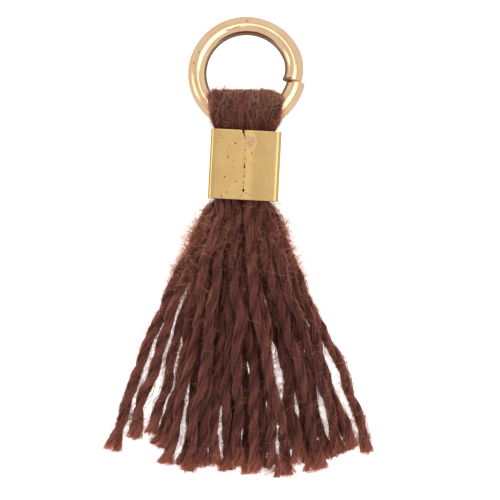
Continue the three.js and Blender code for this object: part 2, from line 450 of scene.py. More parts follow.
RING_GOLD = GoldPlate(
    name="ring_gold",
    colour=(0.94, 0.685, 0.435, 1.0),
    warm=(0.92, 0.61, 0.36, 1.0),
    pit=(0.25, 0.13, 0.07, 1.0),
    roughness=0.13,
    wave=0.5,
    wave_size=420.0,
    spots=(
        Spot(-4.33, 8.75, 0.07, 0.07),
        Spot(-3.9, 9.68, 0.06, 0.06),
        Spot(0.2, 12.37, 0.08, 0.05),
        *(Spot(-1.5 + 0.17 * i, 11.54 + 0.058 * i, 0.12, 0.032) for i in range(7)),
    ),
)
BAND_GOLD = GoldPlate(
    name="band_gold",
    colour=(0.74, 0.51, 0.22, 1.0),
    warm=(0.71, 0.46, 0.19, 1.0),
    pit=(0.28, 0.16, 0.06, 1.0),
    roughness=0.2,
    wave=0.2,
    wave_size=260.0,
    spots=(
        Spot(-2.06, 2.47, 0.05, 0.05),
        Spot(-1.81, 2.26, 0.05, 0.05),
        Spot(-0.79, 1.83, 0.09, 0.08),
        Spot(-1.3, 1.75, 0.06, 0.06),
        Spot(-1.42, 0.68, 0.08, 0.08),
        Spot(-0.96, 0.38, 0.06, 0.06),
        Spot(-1.68, -1.02, 0.08, 0.08),
        Spot(-0.79, -1.41, 0.06, 0.08),
        Spot(-1.51, -2.3, 0.06, 0.06),
        Spot(-1.98, -2.65, 0.05, 0.14),
        Spot(0.58, 0.98, 0.04, 0.18),
        Spot(0.14, -2.4, 0.05, 0.05),
        Spot(-0.3, -2.62, 0.05, 0.04),
        Spot(0.4, -2.58, 0.06, 0.04),
    ),
    stains=(Spot(0.53, 1.96, 0.4, 0.55),),
)
YARN_CORE = BrownYarn(
    name="brown_yarn",
    dark=(0.055, 0.012, 0.01, 1.0),
    middle=(0.145, 0.033, 0.027, 1.0),
    light=(0.34, 0.105, 0.078, 1.0),
)
YARN_FIBRE = LooseFibre(
    name="brown_fibre",
    dark=(0.09, 0.02, 0.016, 1.0),
    light=(0.34, 0.1, 0.07, 1.0),
    glow=(0.5, 0.14, 0.08, 1.0),
    through=0.25,
)
YARN_DOWN = LooseFibre(
    name="brown_down",
    dark=(0.11, 0.032, 0.026, 1.0),
    light=(0.42, 0.16, 0.115, 1.0),
    glow=(0.6, 0.22, 0.14, 1.0),
    through=0.3,
)
YARN_FUZZ = LooseFibre(
    name="brown_fuzz",
    dark=(0.36, 0.15, 0.09, 1.0),
    light=(0.82, 0.48, 0.32, 1.0),
    glow=(1.0, 0.62, 0.42, 1.0),
    through=0.55,
)
YARN_TUFT = LooseFibre(
    name="brown_tuft",
    dark=(0.24, 0.08, 0.055, 1.0),
    light=(0.66, 0.3, 0.21, 1.0),
    glow=(0.95, 0.48, 0.32, 1.0),
    through=0.5,
)
YARN_PALE = LooseFibre(
    name="pale_fibre",
    dark=(0.14, 0.042, 0.032, 1.0),
    light=(0.72, 0.38, 0.28, 1.0),
    glow=(0.75, 0.38, 0.27, 1.0),
    through=0.35,
)


def finish_piece(
    mesh_object: bpy.types.Object, material: bpy.types.Material, node: Optional[str]
) -> None:
    """Gives a finished piece its material and its body, and hides the CAD node that it stands for.

    Args:
        mesh_object: The piece.
        material: Its material.
        node: The CAD node that it stands for, or None.
    """
    mesh_object.data.materials.clear()
    mesh_object.data.materials.append(material)
    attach(mesh_object, BODY)
    if node is not None:
        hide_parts(node)
    LOG.info("%s: %d faces", mesh_object.name, len(mesh_object.data.polygons))


def placed(name: str, data: Any) -> bpy.types.Object:
    """Makes an object of a mesh, a lamp or a camera.

    Args:
        name: The object's name.
        data: What it holds.

    Returns:
        The object, linked to the scene.
    """
    made = bpy.data.objects.new(name, data)
    bpy.context.scene.collection.objects.link(made)
    return made


def object_of(made: bmesh.types.BMesh, name: str) -> bpy.types.Object:
    """Turns a bmesh in millimetres into an object in metres, shaded smooth.

    Args:
        made: The bmesh, which is freed.
        name: The piece's name.

    Returns:
        The object.
    """
    bmesh.ops.scale(made, vec=(MM, MM, MM), verts=made.verts)
    for face in made.faces:
        face.smooth = True
    mesh = bpy.data.meshes.new(name)
    made.to_mesh(mesh)
    made.free()
    return placed(name, mesh)


def rotate(made: bmesh.types.BMesh, angle: float, axis: str) -> None:
    """Turns a bmesh by radians about an axis through the origin."""
    bmesh.ops.rotate(made, verts=made.verts, cent=(0, 0, 0), matrix=Matrix.Rotation(angle, 3, axis))


@dataclass
class JumpRing:
    """The ring of round wire that the yarn is folded over, cut on its right-hand side."""

    outer_diameter: float = 10.0
    wire: float = 1.6
    x: float = 0.15
    y: float = 7.83
    height_in_fold: float = 2.3
    cut_angle: float = -10.0
    cut_gap: float = 0.012
    bent_stretch: float = 32.0
    upper_end_in: float = 0.26
    lower_end_out: float = 0.1
    burr: float = 0.08
    burr_stretch: float = 0.16
    end_rounding: float = 0.13
    sides: int = 40
    steps: int = 200

    @property
    def middle_radius(self) -> float:
        """Radius of the wire's middle line."""
        return (self.outer_diameter - self.wire) / 2

    @property
    def tilt(self) -> float:
        """How far the ring leans down to the surface, in radians."""
        return math.asin((self.height_in_fold - self.wire / 2) / (2 * self.middle_radius))

    def bend(self, angle: float) -> float:
        """The share of an end's bend that is left at an angle from it."""
        return max(0.0, 1 - angle / math.radians(self.bent_stretch)) ** 1.5

    def build(self) -> bpy.types.Object:
        """Spins the wire's section round the ring, bends the ends and leans the ring.

        Returns:
            The ring.
        """
        half_gap = self.cut_gap / 2 / self.middle_radius
        start = math.radians(self.cut_angle) + half_gap
        sweep = TURN - 2 * half_gap
        made = bmesh.new()
        bmesh.ops.create_circle(made, cap_ends=False, segments=self.sides, radius=self.wire / 2)
        rotate(made, math.pi / 2, "X")
        bmesh.ops.translate(made, verts=made.verts, vec=(self.middle_radius, 0, 0))
        rotate(made, start, "Z")
        bmesh.ops.spin(
            made,
            geom=made.verts[:] + made.edges[:],
            cent=(0, 0, 0),
            axis=(0, 0, 1),
            angle=sweep,
            steps=self.steps,
            use_merge=False,
        )
        rims = [edge for edge in made.edges if edge.is_boundary]
        bmesh.ops.holes_fill(made, edges=rims, sides=0)
        bmesh.ops.bevel(
            made,
            geom=rims,
            offset=self.end_rounding,
            segments=4,
            profile=0.5,
            affect="EDGES",
            material=-1,
        )
        for vert in made.verts:
            turned = (math.atan2(vert.co.y, vert.co.x) - start) % TURN
            if turned > sweep + half_gap:
                turned = 0.0
            shift = self.lower_end_out * self.bend(sweep - turned)
            shift -= self.upper_end_in * self.bend(turned)
            inward = (self.middle_radius - vert.co.xy.length) / (self.wire / 2)
            if inward > 0 and turned < self.burr_stretch:
                shift -= self.burr * inward * (1 - turned / self.burr_stretch)
            flat = Vector((vert.co.x, vert.co.y, 0)).normalized()
            vert.co += flat * shift
        rotate(made, -self.tilt, "X")
        height = self.wire / 2 + self.middle_radius * math.sin(self.tilt)
        bmesh.ops.translate(made, verts=made.verts, vec=(self.x, self.y, height))
        bmesh.ops.recalc_face_normals(made, faces=made.faces)
        return object_of(made, "jump_ring_wire")

    def dress(self, piece: bpy.types.Object) -> None:
        """Gilds the ring."""
        finish_piece(piece, RING_GOLD.material(), "jump_ring")


@dataclass
class CrimpBand:
    """The strip of sheet that is rolled round the yarn, with its edges butted down the front."""

    width: float = 6.0
    depth: float = 4.6
    length: float = 5.9
    wall: float = 0.4
    corner: float = 0.36
    lean: float = 3.0
    seam_half_gap: float = 0.004
    nick_width: float = 0.2
    nick_depth: float = 0.85
    nick_slant: float = 0.3
    # How far from the seam its gaps and its nick pull the sheet aside.
    pulled: float = 0.7
    rim: float = 0.07
    # Edges that turn by more than this many degrees are rims.
    rim_angle: float = 50.0
    rows: int = 96
    corner_points: int = 12
    front_points: int = 14
    # Where the seam gapes: distance up the band, half the gap there and half its length.
    gapes: tuple[tuple[float, float, float], ...] = (
        (1.25, 0.03, 0.1),
        (0.52, 0.03, 0.1),
        (0.05, 0.06, 0.09),
        (-0.17, 0.1, 0.13),
        (-0.65, 0.03, 0.07),
        (-0.95, 0.05, 0.12),
        (-1.5, 0.06, 0.08),
        (-1.85, 0.04, 0.07),
        (-2.15, 0.12, 0.14),
    )
    # How high the front stands off its flat, across it.
    relief: tuple[tuple[float, float], ...] = (
        (-3.0, -0.1),
        (-2.2, -0.075),
        (-1.1, -0.055),
        (0.0, -0.035),
        (0.7, -0.03),
        (1.3, -0.005),
        (3.0, 0.06),
    )

    def outline(self) -> list[tuple[float, float]]:
        """The outside of the band across it, from the seam round the back to the seam.

        Returns:
            Points across and off the surface.
        """
        right = self.width / 2 - self.corner
        front = self.depth - self.corner
        back = self.corner
        corners = ((right, front, 90), (right, back, 0), (-right, back, -90), (-right, front, -180))
        flat = [right * i / self.front_points for i in range(self.front_points)]
        flat[0] = self.seam_half_gap
        points = [(x, self.depth) for x in flat]
        for x, z, begin in corners:
            for i in range(self.corner_points + 1):
                angle = math.radians(begin - 90 * i / self.corner_points)
                points.append((x + self.corner * math.cos(angle), z + self.corner * math.sin(angle)))
        points += [(-x, self.depth) for x in reversed(flat)]
        return points

    def nick(self, y: float) -> float:
        """How wide the nick is at a height, from 0 at its point to 1 at the band's end."""
        return max(0.0, 1 - (self.length / 2 - y) / self.nick_depth)

    def half_gap(self, y: float) -> float:
        """Half the seam's gap at a height of the band.

        Args:
            y: Height from the band's middle.

        Returns:
            Half the gap there.
        """
        gap = self.seam_half_gap
        for at, half, long in self.gapes:
            gap += half * math.exp(-(((y - at) / long) ** 2) * 2.5)
        return max(gap, self.nick_width / 2 * self.nick(y))

    def build(self) -> bpy.types.Object:
        """Extrudes the outline down the band, thickens it inwards and marks its rims to be rounded.

        Returns:
            The band.
        """
        made = bmesh.new()
        verts = [made.verts.new((x, self.length / 2, z)) for x, z in self.outline()]
        edges = [made.edges.new(pair) for pair in zip(verts, verts[1:])]
        for _ in range(self.rows):
            grown = bmesh.ops.extrude_edge_only(made, edges=edges)["geom"]
            edges = [item for item in grown if isinstance(item, bmesh.types.BMEdge)]
            moved = [item for item in grown if isinstance(item, bmesh.types.BMVert)]
            bmesh.ops.translate(made, verts=moved, vec=(0, -self.length / self.rows, 0))
            edges = [edge for edge in edges if all(vert in moved for vert in edge.verts)]
        bmesh.ops.recalc_face_normals(made, faces=made.faces)
        middle = Vector((0, 0, self.depth / 2))
        sample = next(iter(made.faces))
        if sample.normal.dot(sample.calc_center_median() - middle) < 0:
            bmesh.ops.reverse_faces(made, faces=made.faces[:])
        bmesh.ops.solidify(made, geom=made.faces[:], thickness=self.wall)
        self.weigh_rims(made)
        self.shape_front(made)
        rotate(made, -math.radians(self.lean), "Z")
        bmesh.ops.recalc_face_normals(made, faces=made.faces)
        return object_of(made, "crimp_band_sheet")

    def weigh_rims(self, made: bmesh.types.BMesh) -> None:
        """Marks the rims of the two ends to be rounded, and the edges of the seam as sharp.

        Args:
            made: The band, before its seam opens.
        """
        weights = made.edges.layers.float.new("bevel_weight_edge")
        for edge in made.edges:
            if edge.calc_face_angle(0.0) > math.radians(self.rim_angle):
                at_end = all(abs(vert.co.y) > self.length / 2 - self.rim for vert in edge.verts)
                edge[weights] = float(at_end)
                edge.smooth = at_end

    def shape_front(self, made: bmesh.types.BMesh) -> None:
        """Opens the seam and gives the front its low relief.

        Args:
            made: The band, before it leans.
        """
        across = [x for x, _ in self.relief]
        heights = [z for _, z in self.relief]
        for vert in made.verts:
            if vert.co.z < self.depth - 2 * self.wall:
                continue
            side = 1 if vert.co.x > 0 else -1
            away = abs(vert.co.x)
            pull = max(0.0, 1 - away / self.pulled)
            nick = self.nick(vert.co.y)
            vert.co.x = side * (away + pull * (self.half_gap(vert.co.y) - self.seam_half_gap))
            vert.co.x -= pull * self.nick_slant * nick
            if vert.co.z > self.depth - self.wall / 2:
                vert.co.z += float(np.interp(vert.co.x, across, heights))

    def dress(self, piece: bpy.types.Object) -> None:
        """Gilds the band and rounds its rims.

        Args:
            piece: The band.
        """
        bevel = piece.modifiers.new("rims", "BEVEL")
        bevel.width = self.rim * MM
        bevel.segments = 2
        bevel.limit_method = "WEIGHT"
        finish_piece(piece, BAND_GOLD.material(), "crimp_band")


@dataclass(frozen=True)
class StrandRow:
    """One strand: its places across at the stations, and how far down it is cut."""

    upper: float
    middle: float
    lower: float
    hem: float
    end: float
    cut_y: float

    @property
    def places(self) -> tuple[float, ...]:
        """The places across, in the order of the stations."""
        return (self.upper, self.middle, self.lower, self.hem, self.end)


# Heights at which the strands' places across are given.
STATIONS = (-8.1, -13.2, -18.3, -21.4, -24.5)

# The strands in the order in which they lie, from the surface up, in four layers.
LAYERS = (
    (
        StrandRow(-5.0, -7.5, -9.4, -10.55, -11.28, -24.6),
        StrandRow(3.85, 6.2, 8.7, 9.75, 10.4, -24.8),
        StrandRow(-3.95, -4.2, -5.6, -6.46, -7.5, -24.2),
        StrandRow(-2.8, -3.1, -3.5, -3.8, -4.05, -24.9),
        StrandRow(-1.7, -2.2, -2.8, -2.95, -3.1, -24.3),
        StrandRow(-0.6, -0.7, -1.1, -1.05, -1.0, -24.9),
        StrandRow(0.5, 0.8, 1.2, 1.2, 1.2, -24.6),
        StrandRow(1.6, 2.35, 3.8, 3.55, 4.6, -24.2),
        StrandRow(2.7, 4.7, 6.5, 7.5, 8.6, -23.5),
    ),
    (
        StrandRow(-4.6, -6.45, -8.1, -9.15, -9.85, -23.5),
        StrandRow(-3.65, -5.45, -6.6, -7.55, -8.45, -23.2),
        StrandRow(-2.3, -3.5, -4.2, -4.62, -4.95, -25.9),
        StrandRow(-1.15, -1.7, -2.3, -2.5, -2.7, -25.9),
        StrandRow(-0.05, 0.0, 0.0, 0.15, 0.3, -26.4),
        StrandRow(1.05, 1.25, 1.5, 1.5, 1.5, -25.9),
        StrandRow(2.15, 3.7, 4.4, 5.1, 5.55, -26.2),
        StrandRow(3.3, 5.6, 7.0, 8.15, 9.45, -24.4),
    ),
    (
        StrandRow(-3.95, -4.7, -5.4, -6.15, -7.0, -24.4),
        StrandRow(-2.85, -2.8, -3.2, -3.35, -3.5, -25.8),
        StrandRow(-1.7, -1.2, -1.5, -1.65, -1.5, -26.2),
        StrandRow(-0.6, 0.2, 0.8, 0.8, 0.8, -26.2),
        StrandRow(0.5, 1.75, 2.1, 2.25, 2.4, -26.2),
        StrandRow(1.6, 3.1, 3.7, 4.1, 4.6, -25.6),
        StrandRow(2.7, 4.2, 5.4, 6.1, 7.1, -25.3),
    ),
    (
        StrandRow(-3.4, -3.9, -5.0, -5.8, -6.4, -25.7),
        StrandRow(-2.3, -2.9, -3.6, -4.2, -4.65, -26.2),
        StrandRow(-1.1, -0.5, -0.7, -0.6, -0.5, -25.9),
        StrandRow(0.6, 1.05, 2.35, 3.0, 3.4, -26.6),
        StrandRow(1.8, 3.5, 4.9, 5.6, 6.15, -26.1),
        StrandRow(2.9, 4.6, 6.6, 7.35, 8.1, -24.9),
    ),
)


def unit(vectors: np.ndarray) -> np.ndarray:
    """Vectors along the last axis of an array, brought to length 1."""
    return vectors / np.maximum(np.linalg.norm(vectors, axis=-1, keepdims=True), 1e-9)


class YarnLine:
    """A yarn's middle line at even steps, with a frame that its plies turn in."""

    def __init__(
        self,
        points: np.ndarray,
        step: float,
        reference: Sequence[float],
        phase: float,
        pitch: float,
        tone: float,
    ) -> None:
        """Smooths the line through the points and measures it.

        Args:
            points: Points along the yarn, one a row.
            step: The distance between two samples.
            reference: A direction that the line never runs along, and that the frame turns from.
            phase: The plies' turn at the start, in radians.
            pitch: The length of one full turn of the plies.
            tone: How light the yarn is, from 0 to 1.
        """
        fine = self._smooth(points)
        length = np.concatenate(([0.0], np.cumsum(np.linalg.norm(np.diff(fine, axis=0), axis=1))))
        count = max(4, int(round(length[-1] / step)) + 1)
        self.along = np.linspace(0.0, length[-1], count)
        self.middle = np.stack([np.interp(self.along, length, fine[:, k]) for k in range(3)], axis=1)
        tangent = unit(np.gradient(self.middle, axis=0))
        self.across = unit(np.cross(np.array(reference, float), tangent))
        self.outward = np.cross(tangent, self.across)
        self.tangent = tangent
        self.length = float(length[-1])
        self.phase = phase
        self.pitch = pitch
        self.tone = tone
        self.width = np.ones(count)
        self.spread = np.ones(count)
        self.lumps = np.ones((count, 2))

    def loosen(self, rng: np.random.Generator, waver: float) -> None:
        """Lets the plies swell and thin, and the line waver.

        Args:
            rng: Places the swellings.
            waver: How far the line strays to the side.
        """
        for ply in range(2):
            for swell, low, high in ((0.07, 1.0, 2.2), (0.05, 2.6, 4.6)):
                wave = np.sin(self.along * rng.uniform(low, high) + rng.uniform(0, TURN))
                self.lumps[:, ply] += swell * wave
        for direction, share in ((self.across, 1.0), (self.outward, 0.4)):
            wave = np.sin(self.along * rng.uniform(0.9, 1.7) + rng.uniform(0, TURN))
            self.middle = self.middle + waver * share * wave[:, None] * direction

    def cut_below(self, y: float) -> None:
        """Cuts the line off below a height.

        Args:
            y: The height.
        """
        keep = self.middle[:, 1] > y
        for name in ("along", "middle", "across", "outward", "tangent", "width", "spread", "lumps"):
            setattr(self, name, getattr(self, name)[keep])
        self.length = float(self.along[-1])

    @staticmethod
    def _smooth(points: np.ndarray, per_span: int = 24) -> np.ndarray:
        """A Catmull-Rom line through points at uneven distances.

        Args:
            points: The points.
            per_span: Samples between two points.

        Returns:
            The samples.
        """
        gaps = np.linalg.norm(np.diff(points, axis=0), axis=1)
        knots = np.concatenate(([0.0], np.cumsum(np.sqrt(gaps) + 1e-6)))
        slopes = np.gradient(points, knots, axis=0)
        share = np.linspace(0.0, 1.0, per_span, endpoint=False)[:, None]
        spans = []
        for i, gap in enumerate(np.diff(knots)):
            a, b = points[i], points[i + 1]
            da, db = slopes[i] * gap, slopes[i + 1] * gap
            spans.append(
                (2 * share**3 - 3 * share**2 + 1) * a
                + (share**3 - 2 * share**2 + share) * da
                + (3 * share**2 - 2 * share**3) * b
                + (share**3 - share**2) * db
            )
        spans.append(points[-1:])
        return np.concatenate(spans)

    def sample(self, values: np.ndarray, along: np.ndarray) -> np.ndarray:
        """Values of the line at any distances along it.

        Args:
            values: A row for each sample of the line.
            along: The distances, in an array of any shape.

        Returns:
            The values there.
        """
        if values.ndim == 1:
            return np.interp(along, self.along, values)
        return np.stack(
            [np.interp(along, self.along, values[:, k]) for k in range(values.shape[1])], axis=-1
        )


@dataclass
class Plying:
    """How two plies wind round each other."""

    thick: float = 0.25
    broad: float = 0.34
    offset: float = 0.19
    sides: int = 8
    # How full a ply is at its very end, and one step before it.
    end_dome: Range = (0.45, 0.85)
    # How much lighter the outside of a ply and darker its inner side are than its mean, a painted shade in
    # the grooves between the plies, and how much lighter its last stretch by the cut end is.
    painted_groove_shade: float = 0.27
    end_light: float = 0.4
    end_stretch: float = 2.4
    # How far the fibres turn back against the ply in one turn of it.
    back_turn: float = 0.35

    def on_ply(
        self, line: YarnLine, along: np.ndarray, ply: np.ndarray, around: np.ndarray, lift: np.ndarray
    ) -> tuple[np.ndarray, np.ndarray]:
        """Points on the surface of a ply.

        Args:
            line: The yarn.
            along: Distances along it.
            ply: 0 or 1 for each point.
            around: The angle round the ply from the yarn's outside, in radians.
            lift: The distance off the ply's surface.

        Returns:
            The points and the directions off the surface.
        """
        middle = line.sample(line.middle, along)
        across = line.sample(line.across, along)
        outward = line.sample(line.outward, along)
        width = line.sample(line.width, along)
        spread = line.sample(line.spread, along)
        lumps = line.sample(line.lumps, along)
        lump = width * np.where(ply > 0.5, lumps[..., 1], lumps[..., 0])
        turn = line.phase + TURN * along / line.pitch + math.pi * ply
        radial = np.cos(turn)[..., None] * across + np.sin(turn)[..., None] * outward
        sideways = np.cos(turn)[..., None] * outward - np.sin(turn)[..., None] * across
        c, s = np.cos(around)[..., None], np.sin(around)[..., None]
        normal = unit(c * radial / self.thick + s * sideways / self.broad)
        skin = self.thick * c * radial + self.broad * s * sideways
        reach = (self.offset * width * spread)[..., None] * radial
        return middle + reach + lump[..., None] * skin + lift[..., None] * normal, normal

    def tubes(self, line: YarnLine) -> tuple[np.ndarray, np.ndarray, np.ndarray]:
        """The two plies as closed tubes.

        Args:
            line: The yarn.

        Returns:
            Corners (ply, step, side, axis), tone with a painted shade in the grooves between the plies, and
            fibre coordinates of each corner.
        """
        count = len(line.along)
        ply, step, side = np.meshgrid(np.arange(2), np.arange(count), np.arange(self.sides), indexing="ij")
        along = line.along[step]
        around = TURN * side / self.sides
        dome = np.ones(count)
        dome[[0, -1]], dome[[1, -2]] = self.end_dome
        shrink = -(1 - dome[step]) * self.thick
        points, _ = self.on_ply(line, along, ply, around, shrink)
        points[..., 2] = np.maximum(points[..., 2], LOWEST)
        left = np.clip(1 - (line.length - along) / self.end_stretch, 0, 1)
        # The tone is lowered on the inner side of each ply and raised on its outside, a painted shade in the
        # grooves between the plies.
        tone = line.tone - 0.14 + self.painted_groove_shade * np.cos(around) + self.end_light * left
        # The fibres of a ply lie nearly along the yarn, so their coordinate turns back against the ply.
        angle = around + self.back_turn * TURN * along / line.pitch
        fibre = np.stack([np.cos(angle) + 7 * ply, np.sin(angle) + 3 * line.phase, along], axis=-1)
        return points, tone, fibre


class JoinedTubes:
    """Collects many closed tubes and joins them to one mesh."""

    def __init__(self, name: str) -> None:
        """Starts with no tubes.

        Args:
            name: The piece's name.
        """
        self.name = name
        self.corners: list[np.ndarray] = []
        self.tones: list[np.ndarray] = []
        self.fibres: list[np.ndarray] = []
        self.quads: list[np.ndarray] = []
        self.caps: list[np.ndarray] = []
        self.count = 0

    def add(self, corners: np.ndarray, tone: np.ndarray, fibre: np.ndarray) -> None:
        """Adds tubes of one length.

        Args:
            corners: Corners (tube, step, side, axis).
            tone: The tone of each corner.
            fibre: The fibre coordinates of each corner.
        """
        tubes, steps, sides = corners.shape[:3]
        index = self.count + np.arange(tubes * steps * sides).reshape(tubes, steps, sides)
        turned = np.roll(index, -1, axis=2)
        quad = np.stack([index[:, :-1], turned[:, :-1], turned[:, 1:], index[:, 1:]], axis=-1)
        self.quads.append(quad.reshape(-1, 4))
        self.caps.append(np.concatenate([index[:, 0, ::-1], index[:, -1, :]]))
        self.corners.append(corners.reshape(-1, 3))
        self.tones.append(tone.reshape(-1))
        self.fibres.append(fibre.reshape(-1, 3))
        self.count += tubes * steps * sides

    def add_lines(
        self, lines: np.ndarray, radius: np.ndarray, tone: np.ndarray, rng: np.random.Generator
    ) -> None:
        """Adds thin fibres as three-sided tubes.

        Args:
            lines: Points (fibre, step, axis).
            radius: The radius at each point.
            tone: The tone of each fibre.
            rng: Turns the sections.
        """
        lines = lines.copy()
        lines[..., 2] = np.maximum(lines[..., 2], radius + LOWEST)
        tangent = unit(np.gradient(lines, axis=1))
        chord = unit(lines[:, -1] - lines[:, 0])
        wild = unit(np.cross(chord, unit(rng.normal(size=chord.shape))))
        first = unit(wild[:, None] - np.sum(wild[:, None] * tangent, -1, keepdims=True) * tangent)
        second = np.cross(tangent, first)
        angle = TURN * np.arange(3) / 3
        ring = (np.cos(angle)[:, None] * first[:, :, None] + np.sin(angle)[:, None] * second[:, :, None])
        corners = lines[:, :, None] + radius[:, :, None, None] * ring
        shades = np.broadcast_to(tone[:, None, None], corners.shape[:3])
        self.add(corners, shades, np.zeros(corners.shape))

    def build(self) -> bpy.types.Object:
        """Joins what was added.

        Returns:
            The piece.
        """
        corners = np.concatenate(self.corners) * MM
        quads = np.concatenate(self.quads)
        caps = [row for block in self.caps for row in block]
        loops = np.concatenate([quads.reshape(-1), *caps])
        sizes = np.array([4] * len(quads) + [len(row) for row in caps])
        mesh = bpy.data.meshes.new(self.name)
        mesh.vertices.add(len(corners))
        mesh.vertices.foreach_set("co", corners.astype(np.float32).reshape(-1))
        mesh.loops.add(len(loops))
        mesh.loops.foreach_set("vertex_index", loops.astype(np.int32))
        mesh.polygons.add(len(sizes))
        starts = np.concatenate(([0], np.cumsum(sizes)[:-1]))
        mesh.polygons.foreach_set("loop_start", starts.astype(np.int32))
        mesh.polygons.foreach_set("loop_total", sizes.astype(np.int32))
        mesh.polygons.foreach_set("use_smooth", np.ones(len(sizes), bool))
        tone = mesh.attributes.new("tone", "FLOAT", "POINT")
        tone.data.foreach_set("value", np.concatenate(self.tones).astype(np.float32))
        fibre = mesh.attributes.new("fibre", "FLOAT_VECTOR", "POINT")
        fibre.data.foreach_set("vector", np.concatenate(self.fibres).astype(np.float32).reshape(-1))
        mesh.update()
        mesh.validate()
        return placed(self.name, mesh)


@dataclass(frozen=True)
class Fuzz:
    """Hairs that stand off the yarn: how many are tried on a millimetre of it, their lengths and points."""

    per_mm: float
    shortest: float
    longest: float
    steps: int
    lean: float = 1.0
    thickest: float = 1.0
    on_top: float = 0.25


@dataclass
class YarnTassel:
    """The hank of two-ply yarn: its cut strands, and the fold over the ring."""

    plying: Plying = field(default_factory=Plying)
    spacing: float = 1.06
    lying: float = 0.51
    sway_width: float = 0.1
    sway_length: float = 7.5
    sway_start: float = 5.0
    lowest_y: float = -26.7
    levels: int = 12
    step: float = 0.22
    pitch: float = 4.8
    waver: float = 0.07
    mouth_y: float = -2.0
    mouth_half_width: float = 2.1
    mouth_x: float = -0.1
    mouth_layers: tuple[float, ...] = (0.95, 1.85, 2.75, 3.62)
    # Below the band: a height, a strand's place across there as a share of its upper one, and how much of its
    # rise or fall to the upper station it has made.
    spreading: tuple[tuple[float, float, float], ...] = ((-3.9, 0.59, 0.35), (-5.6, 0.76, 0.75))
    squeezed: float = 0.74
    probe: float = 0.26
    clear: float = 0.42
    # The folds that show: place across, how high over the ring and how far out in front each reaches.
    outer_folds: tuple[tuple[float, float, float], ...] = (
        (-2.55, 0.02, -0.1),
        (-1.82, 0.1, 0.04),
        (-1.05, 0.0, -0.05),
        (-0.27, 0.12, 0.08),
        (0.5, 0.05, -0.04),
        (1.27, 0.12, 0.06),
        (2.05, 0.0, -0.02),
        (2.75, -0.22, -0.16),
    )
    inner_folds: tuple[float, ...] = (-2.2, -1.45, -0.65, 0.1, 0.9, 1.65, 2.35)
    # Where the folds leave the band: place across, and their spacing there against that of their tops.
    fold_foot: float = 0.15
    outer_gather: float = 0.77
    inner_gather: float = 0.85
    # The tops of the folds that show, and the width of those under them.
    fold_top: float = 5.95
    inner_width: float = 0.75
    fold_pitch: float = 9.0
    # Height and distance off the surface of a line over the folds, from front to back.
    over_fold: tuple[Range, ...] = (
        (3.2, 3.7), (4.0, 4.0), (4.9, 4.0), (5.7, 3.5), (6.0, 2.5), (5.6, 1.4), (4.6, 0.8), (3.4, 0.9)
    )
    # The height above which the band squeezes a strand, and the stretch in which it does so fully.
    loose_y: float = -4.6
    squeezed_stretch: float = 1.6
    # The last stretch of a strand, in which its plies part.
    flare_stretch: float = 1.9
    # Where fibres and hairs are thickest, and how far from there they thin out.
    fuzzy_y: float = -6.6
    fuzzy_reach: float = 3.4
    # How far round its ply from the outside of the yarn a fibre may begin, in radians.
    round_ply: float = 1.9
    # Radii of the thinnest and thickest fibre of each kind.
    matted_radius: Range = (0.011, 0.022)
    fibre_radius: Range = (0.012, 0.024)
    hair_radius: Range = (0.009, 0.018)
    tuft_radius: Range = (0.012, 0.026)
    matted: int = 750
    tuft: int = 110
    seed: int = 7

    def __post_init__(self) -> None:
        """Seeds the random source."""
        self.rng = np.random.default_rng(self.seed)

    def across_at(self, row: StrandRow, y: float, index: int) -> float:
        """A strand's place across at a height.

        Args:
            row: The strand.
            y: The height.
            index: The strand's number.

        Returns:
            The place across.
        """
        above = min(max(sum(y < station for station in STATIONS) - 1, 0), len(STATIONS) - 2)
        share = (y - STATIONS[above]) / (STATIONS[above + 1] - STATIONS[above])
        free = min(1.0, (STATIONS[0] - y) / self.sway_start)
        sway = self.sway_width * free * math.sin(TURN * y / self.sway_length + 2.4 * index)
        return row.places[above] + share * (row.places[above + 1] - row.places[above]) + sway

    def lay_strands(self) -> list[np.ndarray]:
        """Settles each strand on those already laid.

        Returns:
            The points of each strand from the band to below its cut.
        """
        laid: list[np.ndarray] = []
        heights = np.linspace(STATIONS[0], self.lowest_y, self.levels + 1)
        rows = [(layer, row) for layer, rows in enumerate(LAYERS) for row in rows]
        for index, (_, row) in enumerate(rows):
            points = []
            for level, y in enumerate(heights):
                x = self.across_at(row, y, index)
                z = self.lying
                for other in laid:
                    apart = abs(other[level][0] - x)
                    if apart < self.spacing:
                        z = max(z, other[level][2] + math.sqrt(self.spacing**2 - apart**2))
                points.append((x, y, z))
            laid.append(np.array(points))
        lines = []
        for (layer, row), points in zip(rows, laid):
            widest = max(abs(other.upper) for other in LAYERS[layer])
            x = self.mouth_x + self.mouth_half_width * row.upper / widest
            z = self.mouth_layers[layer]
            roots = [(x, self.mouth_y, z), (x, self.mouth_y - 0.9, z)]
            for y, share, fall in self.spreading:
                roots.append((row.upper * share, y, z + fall * (points[0][2] - z)))
            lines.append(np.concatenate([roots, points]))
        return lines

    def strand_lines(self) -> list[YarnLine]:
        """The strands' middle lines, cut to length, with their tone, twist and phase varied.

        Returns:
            One line a strand.
        """
        rng = self.rng
        rows = [row for layer in LAYERS for row in layer]
        lines = []
        for points, row in zip(self.lay_strands(), rows):
            line = YarnLine(
                points,
                self.step,
                (0, 0, 1),
                rng.uniform(0, TURN),
                self.pitch * rng.uniform(0.84, 1.16),
                rng.uniform(0.34, 0.62),
            )
            line.loosen(rng, self.waver)
            line.cut_below(row.cut_y + 0.12)
            left = line.length - line.along
            squeeze = np.clip((line.middle[:, 1] - self.loose_y) / self.squeezed_stretch, 0, 1)
            flare = rng.uniform(0.3, 0.85) * np.clip(1 - left / self.flare_stretch, 0, 1) ** 1.5
            line.width = rng.uniform(0.96, 1.06) * (1 - (1 - self.squeezed) * squeeze) * (1 + 0.5 * flare)
            line.spread = 1 + 1.6 * flare
            lines.append(line)
        return lines

